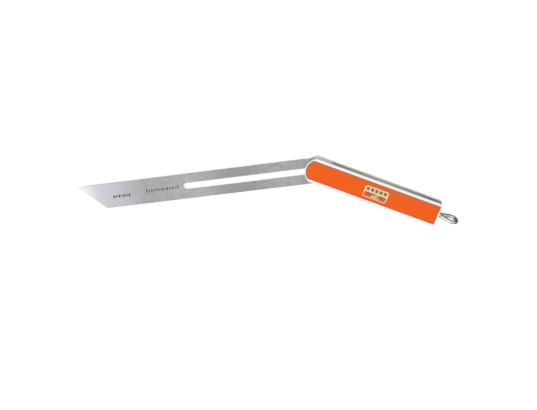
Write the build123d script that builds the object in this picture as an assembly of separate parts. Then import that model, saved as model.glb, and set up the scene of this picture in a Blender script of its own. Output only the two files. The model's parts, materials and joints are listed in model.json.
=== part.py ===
from build123d import *
import os
from math import sqrt

# A carpenter's sliding bevel, lying flat, in millimetres.
# Origin: on the pivot axis, in the face that the stock lies on.
# +X runs along the stock from the pivot to the butt, +Z up through the stock's thickness.

# ---- stock: two side walls with an open channel between them ----
stock_thickness = 12.0
stock_half_width = 12.0
stock_nose_radius = 13.6
stock_butt_x = 119.4
stock_butt_corner = 3.5
stock_nose_corner = 4.0
wall_thickness = 2.0
wall_edge_round = 0.4
wall_inner_round = 0.2

# ---- coloured panels let into the side walls ----
panel_thickness = 0.8
panel_rim_side = 2.6
panel_rim_butt = 1.4
panel_rim_nose = 1.2
panel_gap = 0.15
panel_edge_round = 0.2
panel_nose_corner = 1.6
panel_butt_corner = 0.6
label_length = 23.0
label_height = 11.4
label_thickness = 0.2
label_corner = 2.0
label_centre = (56.8, -0.7)

# ---- blade ----
blade_length = 250.0
blade_width = 25.0
blade_thickness = 1.5
blade_edge_chamfer = 0.15
blade_rest_angle = 208.6
slot_width = 6.6
slot_outer_end = 133.0
slot_inner_end = -4.85

# ---- pivot ----
pin_radius = 2.0
pin_head_radius = 3.6
pin_head_thickness = 0.6
running_gap = 0.05
washer_radius = 11.0
washer_thickness = 0.6
slot_block_length = 9.4
slot_block_side_gap = 0.05
slot_block_face_gap = 0.05
blade_gap_below = 0.04
blade_gap_above = 0.03

# ---- pressure plate and forked wedge ----
ramp_slope = 0.15
ramp_height_at_pivot = 6.6
ramp_gap = 0.03
plate_flat_x = 8.2
fork_tip_x = -9.0
fork_body_x = 9.9
fork_back_x = 20.0
fork_half_width = 8.0
fork_slot_half_width = 2.6
fork_slot_end_x = 8.4
fork_body_bottom = 4.5
fork_top_gap = 0.04
fork_back_corner = 2.0

# ---- lock screw and thumb loop ----
screw_axis_z = 7.2
screw_radius = 1.75
screw_front_x = 11.0
screw_back_x = 121.4
screw_tip_chamfer = 0.4
screw_tip_room = 0.5
collar_radius = 2.7
collar_length = 2.0
collar_pin_radius = 0.5
bush_radius = 2.5
thrust_washer_length = 0.6
boss_radius = 2.3
boss_back_x = 123.4
boss_edge_round = 0.6
loop_wire_radius = 1.7
loop_end_x = 139.1
loop_eye_radius = 5.3
loop_neck_radius = 1.9
loop_rest_tilt = 7.3
loop_pin_radius = 0.6

# ---- butt block and its rivets ----
block_front_x = 104.0
block_inset = 2.0
block_corner = 2.5
rivet_radius = 1.5
rivet_head_radius = 2.6
rivet_x = 111.0
rivet_y = 6.5

# ---- heights worked out from the sizes above ----
mid_z = stock_thickness / 2
channel_floor = wall_thickness
channel_roof = stock_thickness - wall_thickness
blade_bottom = channel_floor + washer_thickness + blade_gap_below
blade_top = blade_bottom + blade_thickness
plate_washer_bottom = blade_top + blade_gap_above
plate_bottom = plate_washer_bottom + washer_thickness
block_back_x = stock_butt_x - block_inset
collar_back_x = block_front_x - thrust_washer_length - running_gap
boss_front_x = block_back_x + thrust_washer_length + running_gap


def nosed_outline(half_width, nose_radius, butt_x, nose_corner, butt_corner):
    """Flat bar outline: square butt, nose struck as an arc about the pivot."""
    shoulder = sqrt(nose_radius**2 - half_width**2)
    sides = Polyline(
        (-shoulder, half_width),
        (butt_x, half_width),
        (butt_x, -half_width),
        (-shoulder, -half_width),
    )
    nose = ThreePointArc((-shoulder, -half_width), (-nose_radius, 0), (-shoulder, half_width))
    outline = make_face(sides + nose)
    outline = fillet(outline.vertices().group_by(Axis.X)[-1], butt_corner)
    return fillet(outline.vertices().group_by(Axis.X)[0], nose_corner)


def upright_cylinder(radius, z_low, z_high, x=0.0, y=0.0):
    """Cylinder along Z between two heights."""
    height = z_high - z_low
    return Pos(x, y, (z_low + z_high) / 2) * Cylinder(radius, height)


def screw_cylinder(radius, x_low, x_high):
    """Cylinder along the lock screw's axis between two places."""
    length = x_high - x_low
    return Pos((x_low + x_high) / 2, 0, screw_axis_z) * Rot(0, 90, 0) * Cylinder(radius, length)


def cross_cylinder(radius, x, length):
    """Cylinder across the lock screw's axis, along Y."""
    return Pos(x, 0, screw_axis_z) * Rot(90, 0, 0) * Cylinder(radius, length)


def flipped(shape):
    """The same shape on the other side of the stock's middle plane."""
    return mirror(shape, about=Plane.XY.offset(mid_z))


def rivet_places():
    return [(rivet_x, rivet_y), (rivet_x, -rivet_y)]


def make_side_wall():
    """Lower wall: a plate with a recess for its panel and sunk seats for pin and rivets."""
    outline = nosed_outline(
        stock_half_width, stock_nose_radius, stock_butt_x, stock_nose_corner, stock_butt_corner
    )
    wall = extrude(outline, wall_thickness)
    wall = fillet(wall.faces().sort_by(Axis.Z)[0].edges(), wall_edge_round)
    wall = fillet(wall.faces().sort_by(Axis.Z)[-1].edges(), wall_inner_round)
    recess = nosed_outline(
        stock_half_width - panel_rim_side + panel_gap,
        stock_nose_radius - panel_rim_nose + panel_gap,
        stock_butt_x - panel_rim_butt + panel_gap,
        panel_nose_corner + panel_gap,
        panel_butt_corner + panel_gap,
    )
    wall -= extrude(recess, panel_thickness)
    seat_top = panel_thickness + pin_head_thickness
    wall -= upright_cylinder(pin_radius, 0, wall_thickness)
    wall -= upright_cylinder(pin_head_radius, 0, seat_top)
    for x, y in rivet_places():
        wall -= upright_cylinder(rivet_radius, 0, wall_thickness, x, y)
        wall -= upright_cylinder(rivet_head_radius, 0, seat_top, x, y)
    return wall


def make_panel():
    """Lower panel: fills its wall's recess, flush with the rim."""
    outline = nosed_outline(
        stock_half_width - panel_rim_side,
        stock_nose_radius - panel_rim_nose,
        stock_butt_x - panel_rim_butt,
        panel_nose_corner,
        panel_butt_corner,
    )
    panel = extrude(outline, panel_thickness)
    return fillet(panel.faces().sort_by(Axis.Z)[0].edges(), panel_edge_round)


def make_label():
    """Thin plate on the upper panel."""
    x, y = label_centre
    outline = RectangleRounded(label_length, label_height, label_corner)
    return Pos(x, y, stock_thickness) * extrude(outline, label_thickness)


def make_butt_block():
    """Block that joins the walls at the butt and carries the lock screw."""
    length = block_back_x - block_front_x
    width = 2 * (stock_half_width - block_inset)
    height = channel_roof - channel_floor
    middle = ((block_front_x + block_back_x) / 2, 0, mid_z)
    block = Pos(*middle) * Box(length, width, height)
    block = fillet(block.edges().filter_by(Axis.Z), block_corner)
    block -= screw_cylinder(bush_radius, block_front_x, block_back_x)
    for x, y in rivet_places():
        block -= upright_cylinder(rivet_radius, channel_floor, channel_roof, x, y)
    return block


def make_rivets():
    """Two flush-headed rivets through both walls and the butt block."""
    low = panel_thickness
    high = stock_thickness - panel_thickness
    rivets = []
    for x, y in rivet_places():
        rivet = upright_cylinder(rivet_radius, low, high, x, y)
        rivet += upright_cylinder(rivet_head_radius, low, low + pin_head_thickness, x, y)
        rivet += upright_cylinder(rivet_head_radius, high - pin_head_thickness, high, x, y)
        rivets.append(rivet)
    return Compound(children=rivets)


def make_pivot_pin():
    """Headed pin across the channel; its plain end carries the round nut."""
    low = panel_thickness
    high = stock_thickness - panel_thickness
    pin = upright_cylinder(pin_radius, low, high)
    return pin + upright_cylinder(pin_head_radius, low, low + pin_head_thickness)


def make_pivot_nut():
    """Round nut sunk in the upper wall, under the panel."""
    high = stock_thickness - panel_thickness
    nut = upright_cylinder(pin_head_radius, high - pin_head_thickness, high)
    return nut - upright_cylinder(pin_radius, high - pin_head_thickness, high)


def make_washer(z_low):
    """Friction washer with a running hole for the pin."""
    z_high = z_low + washer_thickness
    disc = upright_cylinder(washer_radius, z_low, z_high)
    return disc - upright_cylinder(pin_radius + running_gap, z_low, z_high)


def make_plate_washer():
    """Upper friction washer, cut off square where the pressure plate is."""
    washer = make_washer(plate_washer_bottom)
    return washer & plate_side_of_flat(stock_thickness)


def plate_side_of_flat(height):
    """Everything on the pivot's side of the pressure plate's flat."""
    reach = 2 * washer_radius
    return Pos(plate_flat_x - reach / 2, 0, height / 2) * Box(reach, reach, height)


def under_ramp(lift):
    """Wedge-shaped space below the sloping contact face, raised by lift."""
    back = fork_back_x
    front = -2 * washer_radius
    low = ramp_height_at_pivot + lift
    profile = Polyline(
        (front, 0), (back, 0), (back, low + ramp_slope * back), (front, low + ramp_slope * front),
        close=True,
    )
    return extrude(Plane.XZ * make_face(profile), 2 * washer_radius, both=True)


def make_pressure_plate():
    """Thick disc whose sloping top face the wedge slides on."""
    disc = upright_cylinder(washer_radius, plate_bottom, channel_roof)
    disc -= upright_cylinder(pin_radius + running_gap, plate_bottom, channel_roof)
    return disc & plate_side_of_flat(stock_thickness) & under_ramp(0)


def make_wedge_fork():
    """Fork astride the pin; drawn towards the butt, it drives the pressure plate down."""
    top = channel_roof - fork_top_gap
    width = 2 * fork_half_width
    tines_length = fork_body_x - fork_tip_x
    tines = Pos((fork_tip_x + fork_body_x) / 2, 0, top / 2) * Box(tines_length, width, top)
    tines -= under_ramp(ramp_gap)
    slot_length = fork_slot_end_x - fork_tip_x
    slot_middle = (fork_tip_x + fork_slot_end_x) / 2
    tines -= Pos(slot_middle, 0, top / 2) * Box(slot_length, 2 * fork_slot_half_width, top)
    body_length = fork_back_x - fork_body_x
    body_height = top - fork_body_bottom
    body = Box(body_length, width, body_height)
    body = Pos((fork_body_x + fork_back_x) / 2, 0, (top + fork_body_bottom) / 2) * body
    body = fillet(body.edges().filter_by(Axis.Z).group_by(Axis.X)[-1], fork_back_corner)
    fork = tines + body
    hole_front_x = screw_front_x - screw_tip_room
    return fork - screw_cylinder(screw_radius + running_gap, hole_front_x, fork_back_x)


def make_blade():
    """Slotted blade: tail struck about the pivot, tip cut at 45 degrees."""
    half = blade_width / 2
    long_tip = blade_length - half
    sides = Polyline((0, half), (long_tip - blade_width, half), (long_tip, -half), (0, -half))
    tail = ThreePointArc((0, -half), (-half, 0), (0, half))
    blade = extrude(make_face(sides + tail), blade_thickness)
    broad_faces = blade.faces().sort_by(Axis.Z)
    blade = chamfer(broad_faces[0].edges() + broad_faces[-1].edges(), blade_edge_chamfer)
    slot_length = slot_outer_end - slot_inner_end
    slot_middle = (slot_outer_end + slot_inner_end) / 2
    slot = Pos(slot_middle, 0) * SlotOverall(slot_length, slot_width)
    blade -= extrude(slot, blade_thickness)
    return Pos(0, 0, blade_bottom) * Rot(0, 0, blade_rest_angle) * blade


def make_slot_block():
    """Round-ended block that turns on the pin and slides in the blade's slot."""
    width = slot_width - 2 * slot_block_side_gap
    height = blade_thickness - 2 * slot_block_face_gap
    block = extrude(SlotOverall(slot_block_length, width), height)
    block -= upright_cylinder(pin_radius + running_gap, 0, height)
    return Pos(0, 0, blade_bottom + slot_block_face_gap) * Rot(0, 0, blade_rest_angle) * block


def make_lock_screw():
    """Long screw from the wedge fork to the thumb loop, cross-drilled for two pins."""
    screw = screw_cylinder(screw_radius, screw_front_x, screw_back_x)
    screw = chamfer(screw.edges().group_by(Axis.X)[0], screw_tip_chamfer)
    screw -= cross_cylinder(collar_pin_radius, collar_middle_x(), 2 * collar_radius)
    return screw - cross_cylinder(loop_pin_radius, loop_pin_x(), 2 * boss_radius)


def collar_middle_x():
    return collar_back_x - collar_length / 2


def loop_pin_x():
    return (stock_butt_x + screw_back_x) / 2


def make_collar():
    """Collar that stops the screw from moving towards the butt."""
    collar = screw_cylinder(collar_radius, collar_back_x - collar_length, collar_back_x)
    collar -= screw_cylinder(screw_radius, collar_back_x - collar_length, collar_back_x)
    return collar - cross_cylinder(collar_pin_radius, collar_middle_x(), 2 * collar_radius)


def make_ring_on_screw(x_low, outer_radius, length):
    """Plain ring on the stock with running room for the screw."""
    ring = screw_cylinder(outer_radius, x_low, x_low + length)
    return ring - screw_cylinder(screw_radius + running_gap, x_low, x_low + length)


def trimmed_pin(radius, x, barrel_radius):
    """Cross pin trimmed flush with the round part that it goes through."""
    pin = cross_cylinder(radius, x, 2 * barrel_radius)
    return pin & screw_cylinder(barrel_radius, x - 2 * radius, x + 2 * radius)


def make_thumb_loop():
    """Wire eye on a drilled boss: two tangent legs from a tight neck to a round end."""
    eye_x = loop_end_x - loop_wire_radius - loop_eye_radius
    span = eye_x - boss_back_x
    lean = (loop_eye_radius - loop_neck_radius) / span
    rise = sqrt(1 - lean**2)
    eye_touch = (eye_x - lean * loop_eye_radius, rise * loop_eye_radius)
    neck_touch = (boss_back_x - lean * loop_neck_radius, rise * loop_neck_radius)
    upper_leg = Line(neck_touch, eye_touch)
    eye = ThreePointArc(eye_touch, (eye_x + loop_eye_radius, 0), (eye_touch[0], -eye_touch[1]))
    lower_leg = Line((eye_touch[0], -eye_touch[1]), (neck_touch[0], -neck_touch[1]))
    neck_turn = (boss_back_x - loop_neck_radius, 0)
    neck = ThreePointArc((neck_touch[0], -neck_touch[1]), neck_turn, neck_touch)
    path = Plane.XZ * (upper_leg + eye + lower_leg + neck)
    start = Plane(origin=path @ 0, z_dir=path % 0)
    wire = sweep(start * Circle(loop_wire_radius), path)
    wire = Pos(0, 0, screw_axis_z) * Rot(loop_rest_tilt, 0, 0) * wire
    boss = screw_cylinder(boss_radius, boss_front_x, boss_back_x)
    boss = fillet(boss.edges().group_by(Axis.X)[-1], boss_edge_round)
    loop = boss + wire
    loop -= screw_cylinder(screw_radius, boss_front_x, screw_back_x)
    return loop - cross_cylinder(loop_pin_radius, loop_pin_x(), 2 * boss_radius)


def make_parts():
    wall = make_side_wall()
    panel = make_panel()
    ring = thrust_washer_length
    return {
        "stock_wall_lower": wall,
        "stock_wall_upper": flipped(wall),
        "side_panel_lower": panel,
        "side_panel_upper": flipped(panel),
        "label_plate": make_label(),
        "butt_block": make_butt_block(),
        "butt_rivets": make_rivets(),
        "pivot_pin": make_pivot_pin(),
        "pivot_nut": make_pivot_nut(),
        "friction_washer_lower": make_washer(channel_floor),
        "friction_washer_upper": make_plate_washer(),
        "pressure_plate": make_pressure_plate(),
        "wedge_fork": make_wedge_fork(),
        "blade": make_blade(),
        "slot_block": make_slot_block(),
        "lock_screw": make_lock_screw(),
        "thrust_collar": make_collar(),
        "collar_pin": trimmed_pin(collar_pin_radius, collar_middle_x(), collar_radius),
        "screw_bush": make_ring_on_screw(block_front_x, bush_radius, block_back_x - block_front_x),
        "thrust_washer": make_ring_on_screw(block_front_x - ring, collar_radius, ring),
        "butt_washer": make_ring_on_screw(block_back_x, collar_radius, ring),
        "thumb_loop": make_thumb_loop(),
        "loop_pin": trimmed_pin(loop_pin_radius, loop_pin_x(), boss_radius),
    }


os.makedirs("parts", exist_ok=True)
for node, shape in make_parts().items():
    export_step(shape, f"parts/{node}.step")
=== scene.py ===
import bpy
import json
from math import atan2, ceil, cos, pi, radians, sin
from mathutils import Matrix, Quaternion, Vector


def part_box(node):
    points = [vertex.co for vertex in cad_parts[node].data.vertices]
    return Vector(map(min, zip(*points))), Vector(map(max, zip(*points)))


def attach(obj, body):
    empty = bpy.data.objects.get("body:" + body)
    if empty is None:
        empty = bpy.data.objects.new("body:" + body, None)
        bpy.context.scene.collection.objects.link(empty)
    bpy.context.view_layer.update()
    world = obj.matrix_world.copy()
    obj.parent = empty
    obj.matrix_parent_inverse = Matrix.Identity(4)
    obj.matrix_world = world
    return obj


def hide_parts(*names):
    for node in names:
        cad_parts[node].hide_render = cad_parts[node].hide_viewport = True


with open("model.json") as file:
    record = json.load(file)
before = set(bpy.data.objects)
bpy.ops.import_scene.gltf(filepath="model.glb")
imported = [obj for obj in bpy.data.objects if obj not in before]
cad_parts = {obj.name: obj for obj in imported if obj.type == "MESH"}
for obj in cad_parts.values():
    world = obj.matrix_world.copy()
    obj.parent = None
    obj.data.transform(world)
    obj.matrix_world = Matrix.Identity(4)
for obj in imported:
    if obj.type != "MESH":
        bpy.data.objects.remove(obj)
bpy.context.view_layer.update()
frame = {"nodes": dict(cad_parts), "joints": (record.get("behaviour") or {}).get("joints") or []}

# The looks of a carpenter's sliding bevel, in metres, in the CAD's own frame:
# +X along the stock from the pivot to the butt, +Z up through its thickness.
MM = 0.001

# ---- the blade's own directions, read from the joint that it slides on ----
slide_joint = next(joint for joint in frame["joints"] if joint["name"] == "blade_slide")
blade_along = -Vector(slide_joint["axis"])
blade_turn = atan2(blade_along.y, blade_along.x)
blade_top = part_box("blade")[1].z

# ---- strokes etched into the blade, in place of the real one's small print ----
mark_thickness = 0.03 * MM
mark_proud = 0.012 * MM
mark_step = 2.6 * MM
mark_corner_share = 0.3
short_mark_share = 0.55
tip_marks = {"start": 187.5 * MM, "count": 7, "across": 1.6 * MM, "tall": 3.0 * MM, "wide": 1.6 * MM}
middle_marks = {"start": 138.5 * MM, "count": 13, "across": -0.2 * MM, "tall": 3.2 * MM, "wide": 1.1 * MM}

# ---- zones on the blade, where each starts and where it is full, along it from the pivot: painted light on the tail, painted reflection towards the tip, a painted highlight at the point, and the middle of a darker stretch ----
tail_painted_light_zone = (22 * MM, 9 * MM)
tip_painted_reflection_zone = (170 * MM, 224 * MM)
point_painted_highlight_zone = (220 * MM, 238 * MM)
darker_stretch_middle = 78 * MM

# ---- the same, either way from the middle of the darker stretch ----
darker_stretch_zone = (32 * MM, 8 * MM)
lighter_stretch_start = (20 * MM, 42 * MM)
lighter_stretch_end = (72 * MM, 52 * MM)

# ---- wear and painted shade in the stock's channel ----
channel_unshaded_x = 58 * MM
channel_end_shade_zone = (8 * MM, 48 * MM)
lip_zone = (1.1 * MM, 0.8 * MM)
tail_sweep_radii = (13.6 * MM, 13.0 * MM)

# ---- darkening along the edge of a side panel, inwards from its outline ----
edge_darkening_zone = (1.9 * MM, 1.1 * MM)

# ---- print on the label ----
print_thickness = 0.03 * MM
print_proud = 0.02 * MM
label_border = 0.75 * MM
label_corner = 1.25 * MM
field_height_share = 0.48
bar_count = 5
bar_height = 3.3 * MM
bar_gap = 1.15 * MM
bar_corner = 0.4 * MM
bar_drop = 0.4 * MM
sign_width = 0.7 * MM
sign_length = 8.6 * MM
sign_corner_share = 0.4
sign_angle = radians(24)
sign_back = 4.2 * MM
sign_drop = 1.3 * MM
sign_arc_radius = 5.6 * MM
sign_arc_steps = 8

# ---- lock screw thread: flat at its crest and its root for about a fifth of the pitch each ----
thread_pitch = 0.7 * MM
thread_depth = 0.38 * MM
thread_end_x = 46 * MM
thread_sides = 28
thread_steps_per_turn = 8
thread_flank_height = 1.35
thread_flank_slope = 3.4
tip_chamfer = 0.4 * MM

# ---- camera ----
camera_target = Vector((-33.72, -50.10, 7.0)) * MM
camera_distance = 998.5 * MM
camera_azimuth = radians(-177.51)
camera_elevation = radians(67.67)
camera_roll = radians(-162.34)
camera_lens_mm = 69.94
sensor_width_mm = 36.0

# ---- studio: strengths and heights of the sky, the glow's cone, and the lamp ----
floor_half_side = 3.0
floor_drop = 0.02 * MM
horizon_height, overhead_height = 0.10, 0.75
horizon_strength, overhead_strength = 0.30, 0.80
glow_direction = Vector((-0.34, -0.52, 0.78)).normalized()
glow_edge, glow_core = radians(26), radians(8)
glow_strength = 0.9
lamp_position = Vector((-0.25, 0.75, 1.25))
lamp_size = 0.9
lamp_power = 7.0


# ======================= node helpers =======================

def add(tree, kind, **settings):
    """A new node with its settings."""
    node = tree.nodes.new(kind)
    for name, value in settings.items():
        setattr(node, name, value)
    return node


def feed(tree, socket, value):
    """Links an input to another node's output, or sets it to a value."""
    if isinstance(value, bpy.types.NodeSocket):
        tree.links.new(value, socket)
    else:
        socket.default_value = value


def calculate(tree, operation, first, second=0.0):
    """The result of one sum or function."""
    node = add(tree, "ShaderNodeMath", operation=operation)
    feed(tree, node.inputs[0], first)
    feed(tree, node.inputs[1], second)
    return node.outputs[0]


def weighted(tree, first, first_share, second, second_share):
    """The sum of two values, each times its share."""
    one = calculate(tree, "MULTIPLY", first, first_share)
    other = calculate(tree, "MULTIPLY", second, second_share)
    return calculate(tree, "ADD", one, other)


def apart(tree, value, centre):
    """How far a value is from a centre, either way."""
    return calculate(tree, "ABSOLUTE", calculate(tree, "SUBTRACT", value, centre))


def remap(tree, value, low, high, to_low=0.0, to_high=1.0):
    """Value taken from low..high to to_low..to_high, and held at the ends."""
    node = add(tree, "ShaderNodeMapRange", clamp=True)
    for socket, number in zip(node.inputs, (value, low, high, to_low, to_high)):
        feed(tree, socket, number)
    return node.outputs[0]


def between(tree, amount, first, second):
    """Colour mixed from first to second."""
    node = add(tree, "ShaderNodeMix", data_type="RGBA")
    factor, first_colour, second_colour = node.inputs[0], node.inputs[6], node.inputs[7]
    feed(tree, factor, amount)
    feed(tree, first_colour, first)
    feed(tree, second_colour, second)
    mixed_colour = node.outputs[2]
    return mixed_colour


def layered(tree, colour, layers):
    """The colour with each layer's colour laid over it in turn, by the layer's share."""
    for share, layer_colour in layers:
        colour = between(tree, share, colour, layer_colour)
    return colour


def place(tree, size, turn=0.0):
    """Object coordinates in which one unit is a feature of this size, turned about Z."""
    where = add(tree, "ShaderNodeTexCoord")
    mapping = add(tree, "ShaderNodeMapping", vector_type="TEXTURE")
    feed(tree, mapping.inputs["Vector"], where.outputs["Object"])
    mapping.inputs["Rotation"].default_value = (0, 0, turn)
    mapping.inputs["Scale"].default_value = size
    return mapping.outputs["Vector"]


def noise(tree, size, turn=0.0, detail=2.0):
    """Soft noise from 0 to 1 whose features are about this size."""
    node = add(tree, "ShaderNodeTexNoise")
    feed(tree, node.inputs["Vector"], place(tree, size, turn))
    node.inputs["Scale"].default_value = 1.0
    node.inputs["Detail"].default_value = detail
    return node.outputs[0]


def coordinate(tree, axis, turn=0.0):
    """One object coordinate in metres, after a turn about Z."""
    split = add(tree, "ShaderNodeSeparateXYZ")
    feed(tree, split.inputs[0], place(tree, (1, 1, 1), turn))
    return split.outputs[axis]


def between_faces(tree, node_name, fade):
    """1 on the edges of a flat node, between its two broad faces, and 0 on the faces."""
    low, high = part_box(node_name)
    half = (high.z - low.z) / 2
    from_middle = apart(tree, coordinate(tree, "Z"), (low.z + high.z) / 2)
    return remap(tree, from_middle, half - 0.2 * fade, half - fade)


def distance_from_pivot(tree, x, y):
    """Distance from the pivot's axis to the point with these coordinates."""
    squares = weighted(tree, calculate(tree, "POWER", x, 2.0), 1.0, calculate(tree, "POWER", y, 2.0), 1.0)
    return calculate(tree, "SQRT", squares)


def edges(tree, radius):
    """1 on sharp edges, fading to 0 within radius of them."""
    rounded = add(tree, "ShaderNodeBevel", samples=6)
    rounded.inputs["Radius"].default_value = radius
    real = add(tree, "ShaderNodeNewGeometry")
    agree = add(tree, "ShaderNodeVectorMath", operation="DOT_PRODUCT")
    feed(tree, agree.inputs[0], rounded.outputs[0])
    feed(tree, agree.inputs[1], real.outputs["Normal"])
    return remap(tree, agree.outputs["Value"], 0.99, 0.80)


def new_material(name, metallic, specular=0.5):
    """A new material, with its node tree and its shader."""
    material = bpy.data.materials.new(name)
    material.use_nodes = True
    shader = material.node_tree.nodes["Principled BSDF"]
    shader.inputs["Metallic"].default_value = metallic
    shader.inputs["Specular IOR Level"].default_value = specular
    return material, material.node_tree, shader


def dress(tree, shader, colour, roughness, height, depth):
    """Connects a surface's colour, roughness and relief."""
    feed(tree, shader.inputs["Base Color"], colour)
    feed(tree, shader.inputs["Roughness"], roughness)
    relief = add(tree, "ShaderNodeBump")
    relief.inputs["Strength"].default_value = 1.0
    relief.inputs["Distance"].default_value = depth
    feed(tree, relief.inputs["Height"], height)
    feed(tree, shader.inputs["Normal"], relief.outputs[0])


# ======================= materials =======================

def scratches(tree, size, turn, rarity):
    """A few fine lines along one direction: 1 on a scratch, 0 elsewhere."""
    softness = 0.04
    return remap(tree, noise(tree, size, turn, detail=1.0), rarity, rarity + softness)


def blade_steel():
    """Brushed and faintly mottled steel, darker round its middle stretch; painted reflection brightens it
    towards the tip, with a painted highlight at the point, and painted light makes the tail pale.
    """
    material, tree, shader = new_material("blade_steel", metallic=1.0)
    along = coordinate(tree, "X", blade_turn)
    fine = noise(tree, (22 * MM, 0.28 * MM, 2 * MM), blade_turn, detail=3.0)
    broad = noise(tree, (60 * MM, 1.5 * MM, 5 * MM), blade_turn, detail=2.0)
    clouds = noise(tree, (14 * MM, 9 * MM, 9 * MM), blade_turn, detail=3.0)
    mottle = noise(tree, (4.5 * MM, 2.6 * MM, 2.6 * MM), blade_turn, detail=2.0)
    scuffs = scratches(tree, (9 * MM, 0.25 * MM, 3 * MM), blade_turn + radians(24), 0.72)
    brushed = weighted(tree, fine, 0.55, broad, 0.45)
    steel = between(tree, remap(tree, brushed, 0.35, 0.65), (0.38, 0.375, 0.395, 1), (0.465, 0.46, 0.48, 1))

    # darker round the middle of the blade, and lighter in a stretch on either side of it
    from_darker_middle = apart(tree, along, darker_stretch_middle)
    lighter_rise = remap(tree, from_darker_middle, *lighter_stretch_start, 0.0, 0.5)
    before_ends = remap(tree, from_darker_middle, *lighter_stretch_end, 0.0, 0.5)
    lighter_stretches = calculate(tree, "MINIMUM", lighter_rise, before_ends)
    darker_stretch = remap(tree, from_darker_middle, *darker_stretch_zone, 0.0, 0.75)
    stained = remap(tree, clouds, 0.45, 0.70, 0.0, 0.35)
    scuffed = calculate(tree, "MULTIPLY", scuffs, 0.35)
    mottled = remap(tree, mottle, 0.40, 0.64, 0.0, 0.36)
    sheared = between_faces(tree, "blade", 0.2 * MM)
    # painted light: the tail, shaded under the stock's upper wall, is made pale here and less metallic
    # below
    tail = remap(tree, weighted(tree, along, 1.0, clouds, 14 * MM), *tail_painted_light_zone)
    colour = layered(tree, steel, [
        (lighter_stretches, (0.53, 0.53, 0.55, 1)),
        (darker_stretch, (0.34, 0.335, 0.33, 1)),
        (stained, (0.37, 0.355, 0.34, 1)),
        (scuffed, (0.60, 0.60, 0.62, 1)),
        (mottled, (0.29, 0.285, 0.285, 1)),
        (sheared, (0.52, 0.52, 0.53, 1)),
        # painted reflection brightening the blade towards the tip, then a painted highlight at the point
        (remap(tree, along, *tip_painted_reflection_zone), (0.62, 0.615, 0.68, 1)),
        (remap(tree, along, *point_painted_highlight_zone), (0.88, 0.88, 0.92, 1)),
        (edges(tree, 0.35 * MM), (0.66, 0.66, 0.67, 1)),
        (tail, (0.80, 0.80, 0.81, 1)),
    ])
    # less metallic on the sheared edges, and on the pale tail as part of its painted light
    matt_edges_and_painted_light_tail = calculate(tree, "MAXIMUM", sheared, calculate(tree, "MULTIPLY", tail, 0.6))
    feed(tree, shader.inputs["Metallic"], remap(tree, matt_edges_and_painted_light_tail, 0.0, 1.0, 1.0, 0.15))
    rough = weighted(tree, remap(tree, brushed, 0.3, 0.7, 0.30, 0.42), 1.0, clouds, 0.08)
    dress(tree, shader, colour, rough, brushed, 0.012 * MM)
    return material


def panel_inset(tree):
    """Distance in metres inwards from the outline of a side panel."""
    low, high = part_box("side_panel_upper")
    x, y = coordinate(tree, "X"), coordinate(tree, "Y")
    towards_nose = calculate(tree, "MINIMUM", x, 0.0)
    from_nose = calculate(tree, "SUBTRACT", -low.x, distance_from_pivot(tree, towards_nose, y))
    from_side = calculate(tree, "SUBTRACT", high.y, calculate(tree, "ABSOLUTE", y))
    from_butt = calculate(tree, "SUBTRACT", high.x, x)
    return calculate(tree, "MINIMUM", from_nose, calculate(tree, "MINIMUM", from_side, from_butt))


def orange_panel():
    """Satin orange moulding with a fine orange-peel surface, darker along its edge."""
    material, tree, shader = new_material("orange_panel", metallic=0.0, specular=0.2)
    tone = noise(tree, (18 * MM, 7 * MM, 7 * MM), detail=3.0)
    peel = noise(tree, (0.45 * MM, 0.45 * MM, 0.45 * MM), detail=2.0)
    scuffs = scratches(tree, (11 * MM, 0.2 * MM, 3 * MM), radians(12), 0.74)
    orange = between(tree, remap(tree, tone, 0.35, 0.70), (0.88, 0.104, 0.001, 1), (0.84, 0.116, 0.003, 1))
    # a darker band along the panel's edge, its width made uneven by the tone noise
    uneven_inset = weighted(tree, panel_inset(tree), 1.0, tone, 0.5 * MM)
    colour = layered(tree, orange, [
        (calculate(tree, "MULTIPLY", scuffs, 0.30), (0.95, 0.24, 0.09, 1)),
        (remap(tree, uneven_inset, *edge_darkening_zone, 0.0, 0.9), (0.50, 0.135, 0.045, 1)),
    ])
    rough = remap(tree, calculate(tree, "ADD", peel, scuffs), 0.3, 1.5, 0.40, 0.62)
    dress(tree, shader, colour, rough, peel, 0.010 * MM)
    return material


def inside_channel(tree):
    """1 on the walls' faces that look into the channel, and 0 on the lips along their long edges."""
    floor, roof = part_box("stock_wall_lower")[1].z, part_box("stock_wall_upper")[0].z
    half_channel = (roof - floor) / 2
    from_middle = apart(tree, coordinate(tree, "Z"), (floor + roof) / 2)
    facing_in = remap(tree, from_middle, half_channel + 0.08 * MM, half_channel + 0.02 * MM)
    half_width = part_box("stock_wall_lower")[1].y
    from_axis = calculate(tree, "ABSOLUTE", coordinate(tree, "Y"))
    lip = remap(tree, from_axis, half_width - lip_zone[0], half_width - lip_zone[1])
    return calculate(tree, "MULTIPLY", facing_in, calculate(tree, "SUBTRACT", 1.0, lip))


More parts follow.
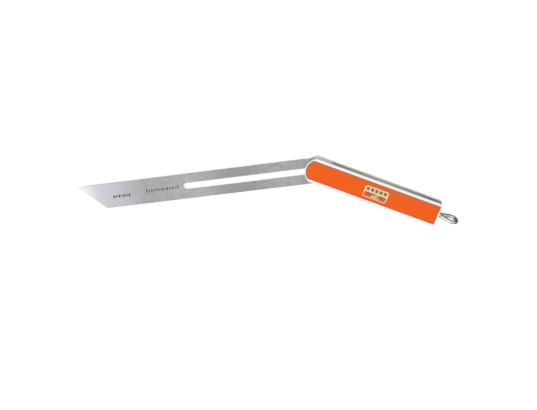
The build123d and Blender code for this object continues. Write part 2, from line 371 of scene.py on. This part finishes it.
def bright_aluminium():
    """Satin aluminium; the channel's faces are saw-cut, darker partly from that finish and partly from
    painted shade, with more painted shade towards the channel's ends, and rubbed bright by the blade's
    tail.
    """
    material, tree, shader = new_material("bright_aluminium", metallic=0.45)
    along, across = coordinate(tree, "X"), coordinate(tree, "Y")
    fine = noise(tree, (16 * MM, 0.25 * MM, 0.25 * MM), detail=3.0)
    clouds = noise(tree, (8 * MM, 5 * MM, 5 * MM), detail=3.0)
    saw = noise(tree, (0.6 * MM, 14 * MM, 3 * MM), detail=2.0)
    satin = between(tree, remap(tree, fine, 0.35, 0.65), (0.90, 0.90, 0.89, 1), (0.97, 0.97, 0.96, 1))
    outside = between(tree, remap(tree, clouds, 0.55, 0.80, 0.0, 0.30), satin, (0.80, 0.79, 0.77, 1))
    # painted shade: the saw-cut channel faces get a colour darker than their finish alone, and darker still
    # towards both ends of the channel
    saw_finish_and_painted_shade = between(tree, remap(tree, saw, 0.35, 0.65), (0.58, 0.55, 0.50, 1), (0.72, 0.69, 0.63, 1))
    channel_end_shade = remap(tree, apart(tree, along, channel_unshaded_x), *channel_end_shade_zone, 0.0, 0.75)
    swept_by_tail = remap(tree, distance_from_pivot(tree, along, across), *tail_sweep_radii)
    channel = layered(tree, saw_finish_and_painted_shade, [(channel_end_shade, (0.36, 0.34, 0.31, 1)), (swept_by_tail, (0.93, 0.92, 0.90, 1))])
    inside = inside_channel(tree)
    colour = between(tree, inside, outside, channel)
    rough = remap(tree, calculate(tree, "ADD", fine, inside), 0.3, 1.6, 0.34, 0.62)
    relief = weighted(tree, fine, 1.0, calculate(tree, "MULTIPLY", saw, inside), 1.0)
    dress(tree, shader, colour, rough, relief, 0.010 * MM)
    return material


def cast_metal():
    """Dark cast zinc with a granular skin, rubbed bright on its edges."""
    material, tree, shader = new_material("cast_metal", metallic=0.85)
    grain = noise(tree, (0.5 * MM, 0.5 * MM, 0.5 * MM), detail=3.0)
    blotch = noise(tree, (5 * MM, 5 * MM, 5 * MM), detail=3.0)
    colour = between(tree, remap(tree, blotch, 0.35, 0.65), (0.16, 0.16, 0.165, 1), (0.26, 0.26, 0.27, 1))
    rubbed = between(tree, edges(tree, 0.3 * MM), colour, (0.55, 0.55, 0.56, 1))
    dress(tree, shader, rubbed, remap(tree, grain, 0.3, 0.7, 0.48, 0.68), grain, 0.05 * MM)
    return material


def turned_metal(name, axis, light, dark, smooth):
    """Turned metal with tool rings about its axis, X or the pivot's Z, and rubbed edges."""
    material, tree, shader = new_material(name, metallic=1.0)
    if axis == "X":
        rings = noise(tree, (0.16 * MM, 30 * MM, 30 * MM), detail=2.0)
    else:
        reach = add(tree, "ShaderNodeVectorMath", operation="LENGTH")
        feed(tree, reach.inputs[0], place(tree, (0.22 * MM, 0.22 * MM, 4 * MM)))
        ring_noise = add(tree, "ShaderNodeTexNoise", noise_dimensions="1D")
        feed(tree, ring_noise.inputs["W"], reach.outputs["Value"])
        ring_noise.inputs["Scale"].default_value = 1.0
        rings = ring_noise.outputs[0]
    stain = noise(tree, (4 * MM, 4 * MM, 4 * MM), detail=3.0)
    ringed = between(tree, remap(tree, rings, 0.35, 0.65), dark, light)
    stained = remap(tree, stain, 0.55, 0.80, 0.0, 0.4)
    colour = layered(tree, ringed, [(stained, dark), (edges(tree, 0.2 * MM), light)])
    rough = remap(tree, rings, 0.3, 0.7, smooth, smooth + 0.14)
    dress(tree, shader, colour, rough, rings, 0.012 * MM)
    return material


def polished_plate():
    """Polished nickel plating with faint drawing lines and hazy handling marks."""
    material, tree, shader = new_material("polished_plate", metallic=1.0)
    haze = noise(tree, (3 * MM, 3 * MM, 3 * MM), detail=3.0)
    lines = noise(tree, (9 * MM, 0.6 * MM, 0.6 * MM), detail=1.0)
    nickel = between(tree, remap(tree, haze, 0.35, 0.75), (0.92, 0.92, 0.93, 1), (0.80, 0.80, 0.81, 1))
    rough = weighted(tree, remap(tree, haze, 0.4, 0.8, 0.12, 0.22), 1.0, lines, 0.04)
    dress(tree, shader, nickel, rough, haze, 0.010 * MM)
    return material


def printed_film(name, ink, faded):
    """A matt film or its print: fibres, slight fading, scuffed edges."""
    material, tree, shader = new_material(name, metallic=0.0, specular=0.35)
    fibre = noise(tree, (1.2 * MM, 0.2 * MM, 0.2 * MM), radians(31), detail=2.0)
    fade = noise(tree, (5 * MM, 4 * MM, 4 * MM), detail=3.0)
    colour = between(tree, remap(tree, fade, 0.40, 0.75), ink, faded)
    rubbed = between(tree, calculate(tree, "MULTIPLY", edges(tree, 0.15 * MM), 0.4), colour, faded)
    dress(tree, shader, rubbed, remap(tree, fibre, 0.3, 0.7, 0.38, 0.55), fibre, 0.006 * MM)
    return material


def pale_floor():
    """White studio table with a glow of its own, and dim in the metal's reflections."""
    material, tree, shader = new_material("pale_floor", metallic=0.0, specular=0.0)
    glossy = add(tree, "ShaderNodeLightPath").outputs["Is Glossy Ray"]
    colour = between(tree, glossy, (0.60, 0.60, 0.60, 1), (0.12, 0.12, 0.12, 1))
    feed(tree, shader.inputs["Base Color"], colour)
    feed(tree, shader.inputs["Emission Strength"], remap(tree, glossy, 0.0, 1.0, 0.62, 0.0))
    shader.inputs["Roughness"].default_value = 1.0
    shader.inputs["Emission Color"].default_value = (1, 1, 1, 1)
    return material


# ======================= meshes =======================

def new_piece(name, vertices, faces, body, material):
    """A mesh piece in place in the frame, riding on a body."""
    mesh = bpy.data.meshes.new(name)
    mesh.from_pydata(vertices, [], faces)
    mesh.validate()
    piece = bpy.data.objects.new(name, mesh)
    bpy.context.scene.collection.objects.link(piece)
    mesh.materials.append(material)
    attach(piece, body)
    return piece


def add_slab(vertices, faces, outline, z_low, z_high):
    """Adds a closed flat slab over an anticlockwise outline."""
    first, count = len(vertices), len(outline)
    vertices += [(x, y, z_low) for x, y in outline]
    vertices += [(x, y, z_high) for x, y in outline]
    faces.append([first + i for i in reversed(range(count))])
    faces.append([first + count + i for i in range(count)])
    for i in range(count):
        j = (i + 1) % count
        faces.append([first + i, first + j, first + count + j, first + count + i])


def rounded_rectangle(centre, size, corner, steps=6):
    """Anticlockwise outline of a rectangle with round corners."""
    half_x, half_y = size[0] / 2 - corner, size[1] / 2 - corner
    points = []
    for quarter, (side_x, side_y) in enumerate([(1, 1), (-1, 1), (-1, -1), (1, -1)]):
        for step in range(steps + 1):
            angle = (quarter + step / steps) * pi / 2
            x = centre[0] + side_x * half_x + corner * cos(angle)
            y = centre[1] + side_y * half_y + corner * sin(angle)
            points.append((x, y))
    return points


def turned_outline(outline, turn):
    """The outline turned about the pivot's axis."""
    return [(x * cos(turn) - y * sin(turn), x * sin(turn) + y * cos(turn)) for x, y in outline]


def make_blade_marks(name, marks, material):
    """A row of etched strokes, every other one short."""
    top = blade_top + mark_proud
    wide = marks["wide"]
    vertices, faces = [], []
    for index in range(marks["count"]):
        tall = marks["tall"] * (1 if index % 2 == 0 else short_mark_share)
        centre = (marks["start"] + index * mark_step, marks["across"])
        outline = rounded_rectangle(centre, (wide, tall), wide * mark_corner_share, steps=2)
        add_slab(vertices, faces, turned_outline(outline, blade_turn), top - mark_thickness, top)
    new_piece(name, vertices, faces, "blade", material)


def make_label_field(centre, size, top, material):
    """The coloured field on the label's lower half."""
    vertices, faces = [], []
    add_slab(vertices, faces, rounded_rectangle(centre, size, label_corner), top - print_thickness, top)
    new_piece("label_field", vertices, faces, "stock", material)


def make_label_bars(centre, room, top, material):
    """A row of plain bars above the field."""
    vertices, faces = [], []
    bar_length = (room - (bar_count - 1) * bar_gap) / bar_count
    for index in range(bar_count):
        x = centre[0] - room / 2 + bar_length / 2 + index * (bar_length + bar_gap)
        outline = rounded_rectangle((x, centre[1]), (bar_length, bar_height), bar_corner, steps=3)
        add_slab(vertices, faces, outline, top - print_thickness, top)
    new_piece("label_bars", vertices, faces, "stock", material)


def make_label_sign(corner, top, material):
    """An angle sign: two arms from one corner, and an arc between them."""
    vertices, faces = [], []
    for angle in (0.0, sign_angle):
        arm_size = (sign_length, sign_width)
        outline = rounded_rectangle((sign_length / 2, 0), arm_size, sign_width * sign_corner_share, steps=3)
        arm = [(corner[0] + x, corner[1] + y) for x, y in turned_outline(outline, angle)]
        add_slab(vertices, faces, arm, top - print_thickness, top)
    turns = [sign_angle * step / sign_arc_steps for step in range(sign_arc_steps + 1)]
    rim = [(sign_arc_radius + sign_width / 2, turn) for turn in turns]
    rim += [(sign_arc_radius - sign_width / 2, turn) for turn in reversed(turns)]
    arc = [(corner[0] + radius * cos(turn), corner[1] + radius * sin(turn)) for radius, turn in rim]
    add_slab(vertices, faces, arc, top - print_thickness, top)
    new_piece("label_angle_sign", vertices, faces, "stock", material)


def make_label_print(bar_ink, field_ink, sign_ink):
    """Plain bars above, and an angle sign on a coloured field below."""
    low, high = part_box("label_plate")
    middle_x = (low.x + high.x) / 2
    field_width = high.x - low.x - 2 * label_border
    field_height = (high.y - low.y - 2 * label_border) * field_height_share
    field_y = low.y + label_border + field_height / 2
    bar_y = high.y - label_border - bar_height / 2 - bar_drop
    top = high.z + print_proud
    make_label_field((middle_x, field_y), (field_width, field_height), top, field_ink)
    make_label_bars((middle_x, bar_y), field_width - 2 * label_border, top, bar_ink)
    make_label_sign((middle_x - sign_back, field_y - sign_drop), top + print_proud, sign_ink)


def thread_radius(x, angle, start_x, crest):
    """The screw's radius at a place on its surface: a thread of about 60 degrees, then a plain shank."""
    if x >= thread_end_x:
        return crest
    share = ((x - start_x) / thread_pitch - angle / (2 * pi)) % 1
    flank = min(1.0, max(0.0, thread_flank_height - abs(share - 0.5) * thread_flank_slope))
    run_out = min(1.0, (thread_end_x - x) / (2 * thread_pitch))
    return crest - thread_depth * (1 - flank) * run_out


def make_lock_screw(material):
    """The long lock screw with its helical thread, cut inwards from the shank's radius."""
    low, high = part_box("lock_screw")
    axis_z = (low.z + high.z) / 2
    crest = (high.z - low.z) / 2
    threaded = thread_end_x - low.x
    count = ceil(threaded / thread_pitch * thread_steps_per_turn)
    places = [low.x + threaded * index / count for index in range(count + 1)] + [high.x]
    vertices, faces = [], []
    for x in places:
        for side in range(thread_sides):
            angle = 2 * pi * side / thread_sides
            tip_limit = crest - max(0.0, tip_chamfer - (x - low.x))
            radius = min(thread_radius(x, angle, low.x, crest), tip_limit)
            vertices.append((x, radius * cos(angle), axis_z + radius * sin(angle)))
    for ring in range(len(places) - 1):
        for side in range(thread_sides):
            here = ring * thread_sides + side
            beside = ring * thread_sides + (side + 1) % thread_sides
            faces.append([here, beside, beside + thread_sides, here + thread_sides])
    faces.append(list(reversed(range(thread_sides))))
    faces.append([(len(places) - 1) * thread_sides + side for side in range(thread_sides)])
    screw = new_piece("lock_screw_threaded", vertices, faces, "lock", material)
    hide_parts("lock_screw")
    for polygon in screw.data.polygons:
        polygon.use_smooth = len(polygon.vertices) == 4


# ======================= studio =======================

def make_floor(material):
    half = floor_half_side
    mesh = bpy.data.meshes.new("floor")
    corners = [(-half, -half, 0), (half, -half, 0), (half, half, 0), (-half, half, 0)]
    mesh.from_pydata(corners, [], [(0, 1, 2, 3)])
    mesh.materials.append(material)
    floor = bpy.data.objects.new("floor", mesh)
    bpy.context.scene.collection.objects.link(floor)
    floor.location.z = -floor_drop


def make_world():
    """A soft studio sky: dim round the horizon, bright overhead, with one brighter glow."""
    world = bpy.data.worlds.new("studio")
    bpy.context.scene.world = world
    world.use_nodes = True
    tree = world.node_tree
    background = tree.nodes["Background"]
    direction = add(tree, "ShaderNodeTexCoord").outputs["Generated"]
    split = add(tree, "ShaderNodeSeparateXYZ")
    feed(tree, split.inputs[0], direction)
    height = split.outputs["Z"]
    sky = remap(tree, height, horizon_height, overhead_height, horizon_strength, overhead_strength)
    towards_glow = add(tree, "ShaderNodeVectorMath", operation="DOT_PRODUCT")
    feed(tree, towards_glow.inputs[0], direction)
    towards_glow.inputs[1].default_value = glow_direction
    glow = remap(tree, towards_glow.outputs["Value"], cos(glow_edge), cos(glow_core), 0.0, glow_strength)
    background.inputs["Color"].default_value = (1, 1, 1, 1)
    feed(tree, background.inputs["Strength"], calculate(tree, "ADD", sky, glow))


def make_lamp():
    """A round softbox aimed at the pivot, which doesn't show in the metal's reflections."""
    light = bpy.data.lights.new("key_softbox", "AREA")
    light.shape = "DISK"
    light.size = lamp_size
    light.energy = lamp_power
    lamp = bpy.data.objects.new("key_softbox", light)
    bpy.context.scene.collection.objects.link(lamp)
    lamp.visible_glossy = False
    lamp.location = lamp_position
    lamp.rotation_mode = "QUATERNION"
    lamp.rotation_quaternion = (-lamp_position).to_track_quat("-Z", "Y")


def make_camera():
    """The camera, looking at its target from its azimuth and elevation, and rolled about its view."""
    camera = bpy.data.objects.new("camera", bpy.data.cameras.new("camera"))
    bpy.context.scene.collection.objects.link(camera)
    azimuth, elevation = camera_azimuth, camera_elevation
    back = Vector((sin(azimuth) * cos(elevation), -cos(azimuth) * cos(elevation), sin(elevation)))
    camera.location = camera_target + camera_distance * back
    camera.rotation_mode = "QUATERNION"
    camera.rotation_quaternion = Quaternion(back, camera_roll) @ (-back).to_track_quat("-Z", "Y")
    camera.data.lens = camera_lens_mm
    camera.data.sensor_width = sensor_width_mm
    camera.data.clip_start = 0.01
    camera.data.clip_end = 20.0
    bpy.context.scene.camera = camera


# ======================= putting it together =======================

steel_light, steel_dark = (0.72, 0.72, 0.73, 1), (0.50, 0.50, 0.51, 1)
ground_light, ground_dark = (0.84, 0.84, 0.85, 1), (0.66, 0.66, 0.67, 1)
brass_light, brass_dark = (0.86, 0.66, 0.30, 1), (0.58, 0.42, 0.17, 1)
cream_fresh, cream_faded = (0.93, 0.69, 0.45, 1), (0.96, 0.76, 0.56, 1)
screw_steel = turned_metal("screw_steel", "X", steel_light, steel_dark, 0.24)
ground_steel = turned_metal("pivot_steel", "Z", ground_light, ground_dark, 0.24)
pivot_nodes = ["pivot_pin", "pivot_nut", "friction_washer_lower", "friction_washer_upper", "pressure_plate"]
finishes = [
    (bright_aluminium(), ["stock_wall_lower", "stock_wall_upper"]),
    (orange_panel(), ["side_panel_lower", "side_panel_upper"]),
    (printed_film("label_cream", cream_fresh, cream_faded), ["label_plate"]),
    (cast_metal(), ["butt_block", "wedge_fork"]),
    (ground_steel, ["butt_rivets"] + pivot_nodes),
    (blade_steel(), ["blade"]),
    (turned_metal("block_brass", "Z", brass_light, brass_dark, 0.32), ["slot_block"]),
    (turned_metal("bush_brass", "X", brass_light, brass_dark, 0.28), ["screw_bush"]),
    (screw_steel, ["thrust_collar", "collar_pin", "loop_pin", "thrust_washer", "butt_washer"]),
    (polished_plate(), ["thumb_loop"]),
]
for material, node_names in finishes:
    for node_name in node_names:
        mesh = frame["nodes"][node_name].data
        mesh.materials.clear()
        mesh.materials.append(material)

etch = printed_film("etched_mark", (0.035, 0.035, 0.04, 1), (0.10, 0.10, 0.11, 1))
make_blade_marks("blade_marks_tip", tip_marks, etch)
make_blade_marks("blade_marks_middle", middle_marks, etch)
make_label_print(
    bar_ink=printed_film("dark_ink", (0.20, 0.135, 0.05, 1), (0.32, 0.22, 0.09, 1)),
    field_ink=printed_film("orange_ink", (0.45, 0.10, 0.02, 1), (0.60, 0.16, 0.04, 1)),
    sign_ink=printed_film("cream_ink", cream_fresh, cream_faded),
)
make_lock_screw(screw_steel)

make_floor(pale_floor())
make_world()
make_lamp()
make_camera()
bpy.context.scene.view_settings.view_transform = "Standard"
